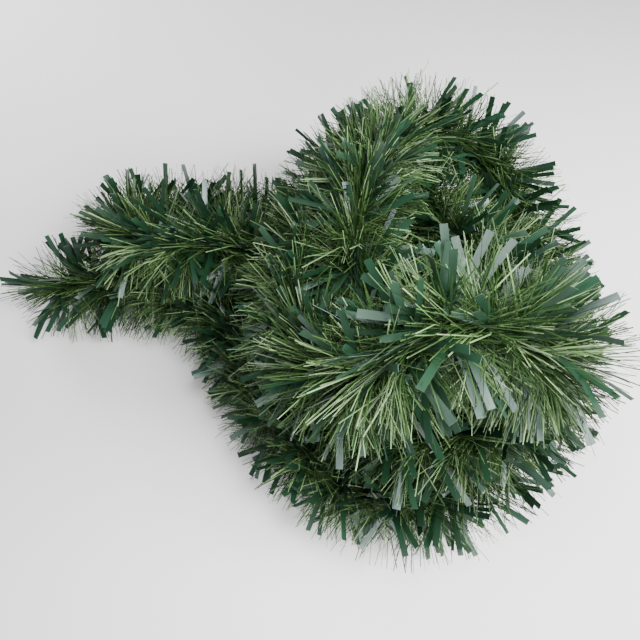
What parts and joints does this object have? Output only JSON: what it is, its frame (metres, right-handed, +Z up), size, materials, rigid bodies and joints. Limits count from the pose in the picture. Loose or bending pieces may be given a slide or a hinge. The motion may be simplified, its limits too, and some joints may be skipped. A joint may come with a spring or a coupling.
{
  "type": "tinsel garland",
  "caption": "Artificial pine tinsel garland lying in a heap: fine light green needles and broad dark green strips held between twisted wires, a free end lying out straight.",
  "frame": {"origin": "on the surface the heap lies on, under the middle of its outline", "axes": "+X towards the heap's right side, away from the bare wire end; +Z up"},
  "size_m": [0.5314, 0.3846, 0.251],
  "materials": {
    "wire_steel": "dark coated wire",
    "light_green_film": "soft sheen film",
    "dark_green_film": "satin to glossy film"
  },
  "bodies": {
    "root": {"wire_a": "wire_steel", "wire_b": "wire_steel", "fine_fringe": "light_green_film", "broad_fringe": "dark_green_film"}
  },
  "joints": []
}
